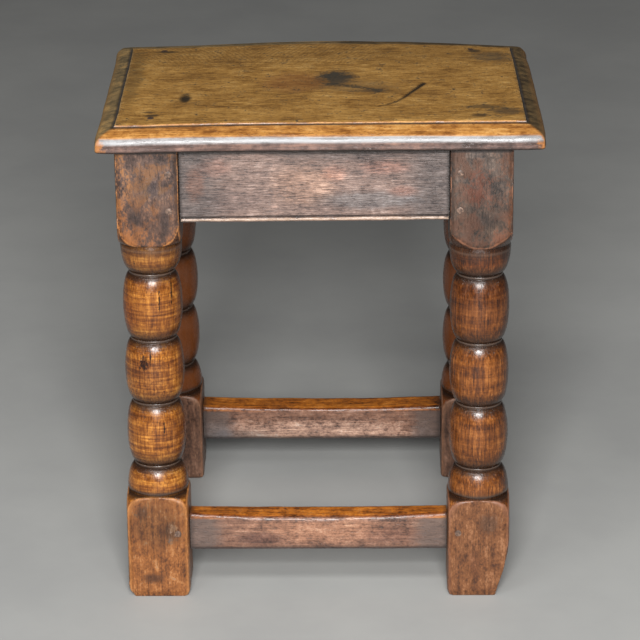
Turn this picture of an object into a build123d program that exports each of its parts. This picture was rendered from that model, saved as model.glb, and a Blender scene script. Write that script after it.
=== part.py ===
from build123d import *
import os
from math import atan2, cos

# Joint stool in oak. Four turned legs, four aprons under the seat and four low stretchers are
# held by mortise and tenon joints with wooden pegs, and a moulded top is pegged down on them.
# Millimetres, +Z up. The floor is z = 0, with the origin under the middle of the seat top.

# --- Overall sizes ---------------------------------------------------------------------------
seat_height = 504          # floor to the flat of the seat
seat_length = 445          # left to right
seat_depth = 316           # front to back
seat_thick = 21
frame_shift = -6           # the legs stand a little to the left of the middle of the top

# --- Legs ------------------------------------------------------------------------------------
leg_square = 64            # section of the blocks that are left square
leg_arris = 2              # rounding of the long edges
sole_chamfer = 1.5
worn_foot = ("front", "right")
foot_wear = 12.5           # the worn foot has lost this much of its outer side at the floor
foot_wear_mid = 4.5        # and this much halfway up the worn part
foot_wear_height = 60
leg_centre_x = 165         # leg axis to the middle of the frame
sole_centre_y = 140        # leg axis at the floor to the middle of the stool
foot_spread = 24           # how much further out the axis is at the floor than at the top

# Turning, as heights along the leg axis
foot_block_top = 106       # middle of the arched end of the foot block
top_block_bottom = 375     # middle of the arched end of the upper block
shoulder = 20              # how far the corners of a block run past the middle of its end
neck_heights = [136, 204, 272, 343]
neck_radius = 22.5
bobbin_radius = 30.3
cup_radius = 31.3          # widest turning, next to the blocks
neck_ring_radius = 23.8    # fine raised ring in the bottom of each neck
neck_ring_half = 1.6
block_groove = 1.2         # fine groove between a cup and its block
# No two legs were marked out alike: each one's turning is this much higher than the heights above
turning_lift = {
    ("front", "left"): 5,
    ("front", "right"): 0.5,
    ("back", "left"): 1,
    ("back", "right"): -3,
}

# --- Rails -----------------------------------------------------------------------------------
apron_inset = 3            # the aprons' faces lie back from the legs' faces
apron_bottom = 406
apron_thick = 22
bead_height = 6            # bead scratched along the lower edge of each apron
bead_relief = 1.3
stretcher_inset = 19       # the stretchers meet the legs in the middle
stretcher_bottom = 44
stretcher_height = 41      # at the ends, where it isn't worn
worn_arris = 3             # outer top edge, rounded by feet
inner_arris = 1.5
stretcher_thick = {"front": 24, "back": 29, "left": 26, "right": 26}
stretcher_wear = {"front": 4.5, "back": 4, "left": 2.5, "right": 2.5}

# --- Joints ----------------------------------------------------------------------------------
tenon_thick = 8
apron_tenon_inset = 12     # from the outer face of the leg
apron_tenon_length = 38
stretcher_tenon_inset = 27
stretcher_tenon_length = 25
mortise_spare = 2          # room past the end of each tenon
tenon_edge = 2             # narrow shoulder below a tenon
apron_haunch = 15          # an apron's tenon stops this far below its top edge
stretcher_haunch = 6
peg_diameter = 7
peg_inset = 11             # from the inner edge of the leg
peg_length = 40
peg_proud = 0.8
apron_peg_heights = [418, 456]
stretcher_peg_heights = [70]
seat_peg_diameter = 8
seat_peg_in = (3, 6)       # nearer the middle of the seat than the leg axes, along and across it
seat_peg_depth = 45        # into the leg

# --- Seat edge moulding ----------------------------------------------------------------------
# Distances in from the edge of the top and down from its flat
end_margin = 20            # left and right of the flat
long_margin = 29           # in front of it and behind it
field_step = 2.5           # small step round the flat
slope_end = 7
slope_drop = 5
slope_crown = 0.5          # the slope swells by this much
nose_drop = 14.5
nose_flat = 2.5
under_inset = 3

# --- Worked out from the sizes above ---------------------------------------------------------
leg_height = seat_height - seat_thick
half_leg = leg_square / 2
half_rail = leg_centre_x - half_leg
splayed_half_leg = half_leg / cos(atan2(foot_spread, leg_height))
overrun = 30               # stock that is trimmed off at the floor and under the seat
side_signs = {"left": -1, "right": 1}
end_signs = {"front": -1, "back": 1}


# --- Reference planes ------------------------------------------------------------------------
def leg_frame(end, across):
    """Frame of the legs at one end: z runs up the leg, x to the right."""
    return Plane(
        origin=(frame_shift + across, end_signs[end] * sole_centre_y, 0),
        x_dir=(1, 0, 0),
        z_dir=(0, -end_signs[end] * foot_spread, leg_height),
    )


def rail_frame(side):
    """Frame of one side of the stool: x along its rails, y into the stool, z up its legs."""
    if side in end_signs:
        legs = leg_frame(side, 0)
        return Plane(origin=legs.origin, x_dir=(-end_signs[side], 0, 0), z_dir=legs.z_dir)
    sign = side_signs[side]
    return Plane(origin=(frame_shift + sign * leg_centre_x, 0, 0), x_dir=(0, sign, 0), z_dir=(0, 0, 1))


def elevation(frame, depth):
    """Sketch plane facing out of the stool, this deep past the leg axes; its y runs up."""
    return Plane(origin=frame.origin + frame.y_dir * depth, x_dir=frame.x_dir, z_dir=-frame.y_dir)


def cross_section(frame):
    """Sketch plane across the rails of a side; its x runs into the stool and its y up."""
    return Plane(origin=frame.origin, x_dir=frame.y_dir, z_dir=frame.x_dir)


def reach(side, height):
    """Half the clear length between the two legs of a side at this height."""
    if side in end_signs:
        return half_rail
    return sole_centre_y - foot_spread * height / leg_height - splayed_half_leg


# --- Outlines, drawn flat in their own x and y -------------------------------------------------
def turned_outline():
    """Half of a leg's long section, as if the whole leg were turned, corners and all."""
    corner = half_leg * 2**0.5
    groove_radius = half_leg - block_groove
    low_shoulder = foot_block_top - shoulder
    low_cup = foot_block_top + 2 * block_groove
    low_neck = neck_heights[0] - neck_ring_half
    high_neck = neck_heights[-1] + neck_ring_half
    high_cup = top_block_bottom - 2 * block_groove
    high_shoulder = top_block_bottom + shoulder
    with BuildSketch() as outline:
        with BuildLine():
            Polyline((0, -overrun), (corner, -overrun), (corner, low_shoulder))
            EllipticalCenterArc(
                (groove_radius, low_shoulder),
                corner - groove_radius,
                shoulder,
                start_angle=0,
                arc_size=90,
            )
            Polyline(
                (groove_radius, foot_block_top),
                (groove_radius, foot_block_top + block_groove),
                (cup_radius, low_cup),
            )
            EllipticalCenterArc(
                (neck_radius, low_cup),
                cup_radius - neck_radius,
                low_neck - low_cup,
                start_angle=0,
                arc_size=90,
            )
            for height in neck_heights:
                ThreePointArc(
                    (neck_radius, height - neck_ring_half),
                    (neck_ring_radius, height),
                    (neck_radius, height + neck_ring_half),
                )
            for low, high in zip(neck_heights, neck_heights[1:]):
                EllipticalCenterArc(
                    (neck_radius, (low + high) / 2),
                    bobbin_radius - neck_radius,
                    (high - low) / 2 - neck_ring_half,
                    start_angle=-90,
                    arc_size=180,
                )
            EllipticalCenterArc(
                (neck_radius, high_cup),
                cup_radius - neck_radius,
                high_cup - high_neck,
                start_angle=270,
                arc_size=90,
            )
            Polyline(
                (cup_radius, high_cup),
                (groove_radius, top_block_bottom - block_groove),
                (groove_radius, top_block_bottom),
            )
            EllipticalCenterArc(
                (groove_radius, high_shoulder),
                corner - groove_radius,
                shoulder,
                start_angle=270,
                arc_size=90,
            )
            Polyline(
                (corner, high_shoulder),
                (corner, leg_height + overrun),
                (0, leg_height + overrun),
                (0, -overrun),
            )
        make_face()
    return outline.sketch


def apron_outline():
    """Section of an apron: a flat face with a bead along its lower edge."""
    outer = apron_inset - half_leg
    inner = outer + apron_thick
    top = leg_height + overrun
    bead_top = apron_bottom + bead_height
    with BuildSketch() as outline:
        with BuildLine():
            Polyline(
                (outer + bead_relief, bead_top),
                (outer, bead_top + bead_relief),
                (outer, top),
                (inner, top),
                (inner, apron_bottom),
                (outer + bead_relief, apron_bottom),
            )
            ThreePointArc(
                (outer + bead_relief, apron_bottom),
                (outer, apron_bottom + bead_height / 2),
                (outer + bead_relief, bead_top),
            )
        make_face()
    return outline.sketch


def between_legs_outline(side, low, high, wear=0):
    """Elevation of a rail between its shoulders, its top edge worn down in the middle."""
    low_reach = reach(side, low)
    high_reach = reach(side, high)
    with BuildSketch() as outline:
        with BuildLine():
            Polyline((high_reach, high), (low_reach, low), (-low_reach, low), (-high_reach, high))
            if wear:
                ThreePointArc((-high_reach, high), (0, high - wear), (high_reach, high))
            else:
                Line((-high_reach, high), (high_reach, high))
        make_face()
    return outline.sketch


def board_outline(half_width, margin):
    """Section of the seat top: the flat, its small step and the rounded edge on both sides."""
    top = seat_height
    under = seat_height - seat_thick
    step = (half_width - margin, top - field_step)
    brow = (half_width - slope_end, top - slope_drop)
    belly = ((step[0] + brow[0]) / 2, (step[1] + brow[1]) / 2 + slope_crown)
    nose = (half_width, top - nose_drop)
    chin = (half_width, top - nose_drop - nose_flat)
    with BuildSketch() as outline:
        with BuildLine():
            Polyline((0, top), (half_width - margin, top), step)
            ThreePointArc(step, belly, brow)
            EllipticalCenterArc(
                (half_width - slope_end, top - nose_drop),
                slope_end,
                nose_drop - slope_drop,
                start_angle=0,
                arc_size=90,
            )
            Line(nose, chin)
            TangentArc(chin, (half_width - under_inset, under), tangent=(0, -1))
            Line((half_width - under_inset, under), (0, under))
            mirror(about=Plane.YZ)
        make_face()
    return outline.sketch


def foot_wear_outline(side):
    """What wear has taken from the outer side of a foot, drawn on the leg's elevation."""
    outer = side_signs[side] * half_leg
    inward = -side_signs[side]
    with BuildSketch() as outline:
        with BuildLine():
            ThreePointArc(
                (outer, foot_wear_height),
                (outer + inward * foot_wear_mid, foot_wear_height / 2),
                (outer + inward * foot_wear, 0),
            )
            Polyline(
                (outer + inward * foot_wear, 0),
                (outer + inward * foot_wear, -overrun),
                (outer - inward * foot_wear, -overrun),
                (outer - inward * foot_wear, foot_wear_height),
                (outer, foot_wear_height),
            )
        make_face()
    return outline.sketch


# --- Tenons and pegs ---------------------------------------------------------------------------
def tenon_bar(side, low, high, inset, length):
    """One bar that holds the tenons at both ends of a rail, or a longer one that cuts their mortises."""
    half_length = reach(side, (low + high) / 2) + length
    with BuildPart() as bar:
        with BuildSketch(elevation(rail_frame(side), inset - half_leg)):
            with Locations((0, (low + high) / 2)):
                Rectangle(2 * half_length, high - low)
        extrude(amount=-tenon_thick)
    return bar.part


def apron_tenons(side, spare=0):
    top = leg_height - apron_haunch
    length = apron_tenon_length + spare
    return tenon_bar(side, apron_bottom + tenon_edge, top, apron_tenon_inset, length)


def stretcher_tenons(side, spare=0):
    top = stretcher_bottom + stretcher_height - stretcher_haunch
    length = stretcher_tenon_length + spare
    return tenon_bar(side, stretcher_bottom + tenon_edge, top, stretcher_tenon_inset, length)


def rail_pegs(side, heights):
    """The pegs of one rail, driven in from the outer faces of its two legs."""
    spots = [(end * (reach(side, height) + peg_inset), height) for end in (-1, 1) for height in heights]
    with BuildPart() as pegs:
        with BuildSketch(elevation(rail_frame(side), -half_leg - peg_proud)):
            with Locations(*spots):
                Circle(peg_diameter / 2)
        extrude(amount=-peg_proud - peg_length)
    return pegs.part


def seat_pegs():
    """The four pegs that hold the top, one down into the head of each leg."""
    out_x = leg_centre_x - seat_peg_in[0]
    out_y = sole_centre_y - foot_spread - seat_peg_in[1]
    spots = [(frame_shift + x, y) for x in (-out_x, out_x) for y in (-out_y, out_y)]
    with BuildPart() as pegs:
        with BuildSketch(Plane.XY.offset(seat_height)):
            with Locations(*spots):
                Circle(seat_peg_diameter / 2)
        extrude(amount=-seat_thick - seat_peg_depth)
    return pegs.part


# --- Pieces ------------------------------------------------------------------------------------
def leg(end, side):
    frame = leg_frame(end, side_signs[side] * leg_centre_x)
    cutters = [seat_pegs()]
    for joined in (end, side):
        cutters.append(apron_tenons(joined, mortise_spare))
        cutters.append(stretcher_tenons(joined, mortise_spare))
        cutters.append(rail_pegs(joined, apron_peg_heights + stretcher_peg_heights))
    outline = turned_outline()
    wear_outline = foot_wear_outline(side)
    with BuildPart() as post:
        with BuildSketch(frame.offset(-overrun)):
            RectangleRounded(leg_square, leg_square, leg_arris)
        extrude(amount=leg_height + 2 * overrun)
        with BuildSketch(elevation(frame, 0)):
            with Locations((0, turning_lift[end, side])):
                add(outline)
        revolve(axis=Axis(frame.origin, frame.z_dir), mode=Mode.INTERSECT)
        split(bisect_by=Plane.XY.offset(leg_height), keep=Keep.BOTTOM)
        split(bisect_by=Plane.XY, keep=Keep.TOP)
        chamfer(post.faces().sort_by(Axis.Z)[0].edges(), sole_chamfer)
        if (end, side) == worn_foot:
            with BuildSketch(elevation(frame, 0)):
                add(wear_outline)
            extrude(amount=leg_square, both=True, mode=Mode.SUBTRACT)
        add(cutters, mode=Mode.SUBTRACT)
    return post.part


def apron(side):
    frame = rail_frame(side)
    outline = apron_outline()
    length_outline = between_legs_outline(side, 0, leg_height + overrun)
    tenon = apron_tenons(side)
    pegs = rail_pegs(side, apron_peg_heights)
    with BuildPart() as rail:
        with BuildSketch(cross_section(frame)):
            add(outline)
        extrude(amount=2 * half_rail, both=True)
        with BuildSketch(elevation(frame, 0)):
            add(length_outline)
        extrude(amount=leg_square, both=True, mode=Mode.INTERSECT)
        split(bisect_by=Plane.XY.offset(leg_height), keep=Keep.BOTTOM)
        add(tenon)
        add(pegs, mode=Mode.SUBTRACT)
    return rail.part


def stretcher(side):
    frame = rail_frame(side)
    across = Axis(frame.origin, frame.y_dir)
    top = stretcher_bottom + stretcher_height
    outline = between_legs_outline(side, stretcher_bottom, top, stretcher_wear[side])
    tenon = stretcher_tenons(side)
    pegs = rail_pegs(side, stretcher_peg_heights)
    with BuildPart() as rail:
        with BuildSketch(elevation(frame, stretcher_inset - half_leg)):
            add(outline)
        extrude(amount=-stretcher_thick[side])
        fillet(rail.edges().filter_by(GeomType.CIRCLE).sort_by(across)[0], worn_arris)
        fillet(rail.edges().filter_by(GeomType.CIRCLE).sort_by(across)[-1], inner_arris)
        add(tenon)
        add(pegs, mode=Mode.SUBTRACT)
    return rail.part


def seat_top():
    long_outline = board_outline(seat_length / 2, end_margin)
    cross_outline = board_outline(seat_depth / 2, long_margin)
    pegs = seat_pegs()
    with BuildPart() as board:
        with BuildSketch(Plane.XZ):
            add(long_outline)
        extrude(amount=seat_depth, both=True)
        with BuildSketch(Plane.YZ):
            add(cross_outline)
        extrude(amount=seat_length, both=True, mode=Mode.INTERSECT)
        add(pegs, mode=Mode.SUBTRACT)
    return board.part


# --- Build and write ---------------------------------------------------------------------------
pieces = {"seat_top": seat_top(), "seat_pegs": seat_pegs()}
for end in end_signs:
    for side in side_signs:
        pieces[f"{end}_{side}_leg"] = leg(end, side)
for side in (*end_signs, *side_signs):
    pieces[f"{side}_apron"] = apron(side)
    pieces[f"{side}_apron_pegs"] = rail_pegs(side, apron_peg_heights)
    pieces[f"{side}_stretcher"] = stretcher(side)
    pieces[f"{side}_stretcher_pegs"] = rail_pegs(side, stretcher_peg_heights)

os.makedirs("parts", exist_ok=True)
for name, piece in pieces.items():
    piece.label = name
    export_step(piece, f"parts/{name}.step")
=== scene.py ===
import math
from types import SimpleNamespace

import bmesh
import bpy
import numpy as np
from mathutils import Matrix, Vector


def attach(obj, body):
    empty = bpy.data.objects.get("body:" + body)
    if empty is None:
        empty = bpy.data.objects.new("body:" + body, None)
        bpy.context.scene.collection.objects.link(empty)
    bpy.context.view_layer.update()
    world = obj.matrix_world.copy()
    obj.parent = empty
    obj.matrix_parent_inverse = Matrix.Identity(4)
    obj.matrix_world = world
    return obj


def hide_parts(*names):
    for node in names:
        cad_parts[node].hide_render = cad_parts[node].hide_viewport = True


# Joint stool in old oak: four leaning turned legs, beaded aprons, worn stretchers and a moulded
# top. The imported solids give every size. Here each piece is shaped again with its wear.

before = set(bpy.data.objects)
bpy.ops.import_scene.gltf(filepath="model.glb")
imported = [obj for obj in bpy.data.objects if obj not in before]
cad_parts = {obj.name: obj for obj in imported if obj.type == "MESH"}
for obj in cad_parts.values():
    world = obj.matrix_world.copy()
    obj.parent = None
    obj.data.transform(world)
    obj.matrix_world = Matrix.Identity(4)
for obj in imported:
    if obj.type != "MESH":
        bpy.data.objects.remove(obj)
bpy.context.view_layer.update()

# --- Sizes in metres, as in the solids --------------------------------
SEAT_TOP = 0.504
SEAT_UNDER = 0.483
SEAT_HALF = Vector((0.2225, 0.158))
END_MARGIN = 0.02          # left and right of the flat of the seat
LONG_MARGIN = 0.029        # in front of it and behind it
SLOPE_END = 0.007
SEAT_PEG_IN = Vector((0.003, 0.006))
FRAME_SHIFT = -0.006
LEG_X = 0.165              # leg axis to the middle of the frame
SOLE_Y = 0.14              # leg axis at the floor to the middle of the stool
SPLAY = 0.024              # how far each leg leans in on its way up to the seat
HALF_LEG = 0.032
CORNER = HALF_LEG * math.sqrt(2)
LEAN = math.atan2(SPLAY, SEAT_UNDER)
FOOT_TOP = 0.106           # middle of the arched end of the foot block
HEAD_BOTTOM = 0.375        # middle of the arched end of the upper block
SHOULDER = 0.02            # rise of the arched ends
LEGS = {                   # how far up the turning is moved, rise of the upper arch, seed, finish
    ("front", "left"): (0.005, 0.03, 1.0, "left_leg_oak"),
    ("front", "right"): (0.0005, 0.0175, 2.0, "right_leg_oak"),
    ("back", "left"): (0.001, SHOULDER, 3.0, "back_leg_oak"),
    ("back", "right"): (-0.003, SHOULDER, 4.0, "back_leg_oak"),
}
GROOVE = 0.0012
NECKS = (0.136, 0.204, 0.272, 0.343)
NECK_RADIUS = 0.0225
BOBBIN_RADIUS = 0.0303
CUP_RADIUS = 0.0313
RING_RADIUS = 0.0238
RING_HALF = 0.0016
APRON_INSET = 0.003
APRON_BOTTOM = 0.406
APRON_THICK = 0.022
BEAD = 0.006
BEAD_RELIEF = 0.0013
STRETCHER_INSET = 0.019
STRETCHER_BOTTOM = 0.044
STRETCHER_TOP = 0.085
STRETCHER_THICK = {"front": 0.024, "back": 0.029, "left": 0.026, "right": 0.026}
HOLLOWS = {"front": (0.0055, 0.0009), "back": (0.0024, 0.0034)}  # wear of the tread, outside and inside
PEG_RADIUS = 0.0034
PEG_INSET = 0.011
APRON_PEGS = (0.418, 0.456)
STRETCHER_PEGS = (0.07,)
ENDS = {"front": -1, "back": 1}
SIDES = {"left": -1, "right": 1}
RAILS = [f"{side}_{kind}" for side in (*ENDS, *SIDES) for kind in ("apron", "stretcher")]
RAIL_SEED = {rail: 5.0 + number for number, rail in enumerate(RAILS)}
JOINT_GAP = 0.0003         # open line between a rail's shoulder and the leg


# --- Camera -----------------------------------------------------------
def set_camera():
    camera = bpy.data.objects.new("camera", bpy.data.cameras.new("camera"))
    bpy.context.scene.collection.objects.link(camera)
    camera.data.sensor_width = 36
    camera.data.lens = 162.54
    camera.data.clip_end = 40
    swing = Matrix.Rotation(0.0185, 4, "Z")
    look_down = Matrix.Rotation(math.pi / 2 - 0.3975, 4, "X")
    roll = Matrix.Rotation(-0.0115, 4, "Z")
    camera.matrix_world = Matrix.Translation((0.0477, -2.82198, 1.42404)) @ swing @ look_down @ roll
    bpy.context.scene.camera = camera


set_camera()


# --- Bench: picking, drawing and shaping ------------------------------
ops = bpy.ops.mesh


def deselect():
    bpy.ops.object.select_all(action="DESELECT")


def select_all():
    ops.select_all(action="SELECT")


def only(piece):
    """Leaves this piece alone selected and in hand."""
    deselect()
    piece.select_set(True)
    bpy.context.view_layer.objects.active = piece


def edit(piece):
    only(piece)
    bpy.ops.object.mode_set(mode="EDIT")


def finish_edit():
    bpy.ops.object.mode_set(mode="OBJECT")


def choose(kind, test):
    """Selects the vertices, edges or faces in hand that pass the test."""
    ops.select_mode(type=kind)
    ops.select_all(action="DESELECT")
    mesh = bmesh.from_edit_mesh(bpy.context.object.data)
    for part in {"VERT": mesh.verts, "EDGE": mesh.edges, "FACE": mesh.faces}[kind]:
        if test(part):
            part.select_set(True)
    mesh.select_flush_mode()
    bmesh.update_edit_mesh(bpy.context.object.data)


def runs_along(edge, axis):
    step = edge.verts[1].co - edge.verts[0].co
    return abs(step[axis]) > 0.95 * step.length


def divide(axis, cuts):
    """Cuts across every edge that runs along this axis."""
    choose("EDGE", lambda edge: runs_along(edge, axis))
    ops.subdivide(number_cuts=cuts)


def draw(name, points):
    """A thin line of vertices through the points, left in edit mode."""
    deselect()
    ops.primitive_plane_add(size=0.001, location=points[0])
    piece = bpy.context.object
    piece.name = piece.data.name = name
    bpy.ops.object.mode_set(mode="EDIT")
    ops.select_mode(type="VERT")
    ops.merge(type="CENTER")
    for here, there in zip(points, points[1:]):
        step = Vector(there) - Vector(here)
        ops.extrude_vertices_move(TRANSFORM_OT_translate={"value": step})
    return piece


def turn(steps):
    """Spins the line in hand round the upright axis into a closed solid."""
    select_all()
    ops.spin(steps=steps, angle=2 * math.pi, center=(0, 0, 0), axis=(0, 0, 1))
    close_up()


def close_up():
    select_all()
    ops.remove_doubles(threshold=1e-6)
    ops.normals_make_consistent(inside=False)


def saw(point, outward):
    """Cuts off everything past this plane and leaves a flat face."""
    select_all()
    square_to = Vector(outward).normalized()
    cut = {"plane_co": point, "plane_no": square_to, "threshold": 1e-5}
    ops.bisect(**cut, use_fill=True, clear_outer=True)


def settle(piece):
    """Puts the piece's place into its mesh."""
    only(piece)
    bpy.ops.object.transform_apply(location=True, rotation=True, scale=True)


def apply_modifier(piece, kind, **settings):
    only(piece)
    modifier = piece.modifiers.new("work", kind)
    for name, value in settings.items():
        setattr(modifier, name, value)
    bpy.ops.object.modifier_apply(modifier=modifier.name)


def places():
    """Where the vertices of the piece in hand are."""
    vertices = bpy.context.object.data.vertices
    co = np.empty(len(vertices) * 3)
    vertices.foreach_get("co", co)
    return co.reshape(-1, 3)


def ease(start, end, value):
    t = np.clip((value - start) / (end - start), 0, 1)
    return t * t * (3 - 2 * t)


def cloud(size, contrast):
    pattern = bpy.data.textures.new("cloud", "CLOUDS")
    pattern.noise_scale = size
    pattern.contrast = contrast
    return pattern


def press(depth, where, direction="NORMAL", pattern=None, stretch=(1, 1, 1)):
    """Moves the surface by depth where the weights say so; a pattern only presses it in."""
    piece = bpy.context.object
    group = piece.vertex_groups.new(name="where")
    steps = np.rint(np.clip(where, 0, 1) * 40).astype(int)
    for step in range(1, 41):
        found = np.nonzero(steps == step)[0]
        if len(found):
            group.add(found.tolist(), step / 40, "REPLACE")
    guide = None
    settings = {"vertex_group": group.name, "strength": depth, "direction": direction, "mid_level": 0.0}
    if pattern:
        settings["mid_level"] = 0.5 + 0.5 * pattern.contrast
        guide = bpy.data.objects.new("guide", None)
        guide.scale = stretch
        bpy.context.scene.collection.objects.link(guide)
        bpy.context.view_layer.update()
        settings |= {"texture": pattern, "texture_coords": "OBJECT", "texture_coords_object": guide}
    apply_modifier(piece, "DISPLACE", **settings)
    piece.vertex_groups.remove(piece.vertex_groups["where"])
    if guide:
        bpy.data.objects.remove(guide)


def mark(name, values):
    """Keeps one number a vertex, or three, for the finish to read."""
    kind, key = ("FLOAT_VECTOR", "vector") if np.ndim(values) == 2 else ("FLOAT", "value")
    held = bpy.context.object.data.attributes.new(name, kind, "POINT")
    held.data.foreach_set(key, np.ravel(values).astype(np.float32))


def oval(centre, across, up, start, end, count):
    """Points along part of an ellipse, as radius and height; angles in degrees."""
    angles = np.radians(np.linspace(start, end, count))
    return [(centre[0] + across * math.cos(a), centre[1] + up * math.sin(a)) for a in angles]


def join(pieces, name):
    deselect()
    for piece in pieces:
        piece.select_set(True)
    bpy.context.view_layer.objects.active = pieces[0]
    bpy.ops.object.join()
    pieces[0].name = pieces[0].data.name = name
    return pieces[0]


def copy_of(piece, name):
    twin = piece.copy()
    twin.data = piece.data.copy()
    twin.name = twin.data.name = name
    bpy.context.scene.collection.objects.link(twin)
    return twin


def smooth_shade(piece, angle):
    only(piece)
    bpy.ops.object.shade_smooth_by_angle(angle=math.radians(angle))


# --- Legs -------------------------------------------------------------
def under_ring(height):
    """True just below a ring, where the next swelling starts straight from it."""
    return any(0 < neck - height < 0.006 for neck in NECKS)


def turning_line():
    """Radius and height of the turned part, from inside the foot block to inside the upper block."""
    low_cup = FOOT_TOP + 2 * GROOVE
    high_cup = HEAD_BOTTOM - 2 * GROOVE
    groove = HALF_LEG - GROOVE
    swell = CUP_RADIUS - NECK_RADIUS
    low_rise = NECKS[0] - RING_HALF - low_cup
    high_rise = high_cup - NECKS[-1] - RING_HALF
    line = [(0, FOOT_TOP - 0.005), (groove, FOOT_TOP - 0.005), (groove, FOOT_TOP + GROOVE)]
    line += oval((NECK_RADIUS, low_cup), swell, low_rise, 0, 90, 18)
    for index, height in enumerate(NECKS):
        line += oval((NECK_RADIUS, height), RING_RADIUS - NECK_RADIUS, RING_HALF, -50, 80, 6)
        if index < len(NECKS) - 1:
            middle = (height + NECKS[index + 1]) / 2
            half = (NECKS[index + 1] - height) / 2 - RING_HALF
            line += oval((NECK_RADIUS, middle), BOBBIN_RADIUS - NECK_RADIUS, half, -90, 90, 52)
    line += oval((NECK_RADIUS, high_cup), swell, high_rise, -90, 0, 20)
    low_side = RING_RADIUS - 0.0005
    line = [(max(radius, low_side) if under_ring(height) else radius, height) for radius, height in line]
    line += [(groove, HEAD_BOTTOM - GROOVE), (groove, HEAD_BOTTOM + 0.005), (0, HEAD_BOTTOM + 0.005)]
    return line


def block_stock(name, foot, lift, rise, straight):
    """Square block, cut from a turned one, so that its rounded or straight shoulder leaves an arch."""
    stock = 0.0465
    groove = HALF_LEG - GROOVE
    if foot:
        end = FOOT_TOP + lift
        line = [(0, -0.012), (stock, -0.012), (stock, end - SHOULDER)]
        line += oval((groove, end - SHOULDER), CORNER - groove, SHOULDER, 0, 90, 24)
        line += [(0, end)]
    else:
        end = HEAD_BOTTOM + lift
        line = [(0, end)]
        if straight:
            line += [(groove, end), (CORNER, end + rise)]
        else:
            line += oval((groove, end + rise), CORNER - groove, rise, -90, 0, 24)
        line += [(stock, line[-1][1]), (stock, SEAT_UNDER + 0.012), (0, SEAT_UNDER + 0.012)]
    piece = draw(name, [(radius, 0, height) for radius, height in line])
    turn(96)
    for outward in ((1, 0, 0), (-1, 0, 0), (0, 1, 0), (0, -1, 0)):
        saw(Vector(outward) * HALF_LEG, outward)
    finish_edit()
    settle(piece)
    return piece


def wear_foot(steps):
    """Pares the outer side of a foot away in a few slanting cuts; steps are (inset, height)."""
    for (inset, height), (next_inset, next_height) in zip(steps, steps[1:]):
        saw((HALF_LEG - inset, 0, height), (height - next_height, 0, inset - next_inset))


def block(name, foot, end, side):
    worn_right = (end, side) == ("front", "right")
    piece = block_stock(name, foot, *LEGS[end, side][:2], worn_right)
    edit(piece)
    level = Vector((0, math.sin(ENDS[end] * LEAN), math.cos(LEAN)))
    if foot:
        saw((0, 0, 0), -level)
        if worn_right:
            wear_foot([(0, 0.06), (0.0014, 0.046), (0.0045, 0.032), (0.0098, 0.014), (0.014, 0)])
    else:
        saw(level * SEAT_UNDER, level)
    finish_edit()
    apply_modifier(piece, "REMESH", mode="VOXEL", voxel_size=0.00112)
    apply_modifier(piece, "SMOOTH", factor=0.5, iterations=3)
    return piece


def arch_gap(place, lift, head_rise, straight):
    """How far a point of a leg is from the arched edge of its nearest block."""
    flat = HALF_LEG - np.maximum(abs(place[:, 0]), abs(place[:, 1]))
    groove = HALF_LEG - GROOVE
    height = place[:, 2] - lift
    upper = height > 0.25
    past = np.where(upper, (height - HEAD_BOTTOM) / head_rise, (FOOT_TOP - height) / SHOULDER)
    share = np.clip(past, 0, 1)
    bow = np.where(upper & straight, share, np.sqrt(1 - (1 - share)**2))
    off = groove + (CORNER - groove) * bow - np.hypot(place[:, 0], place[:, 1])
    return np.hypot(flat, np.where(past > 1, 1, off))


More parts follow.
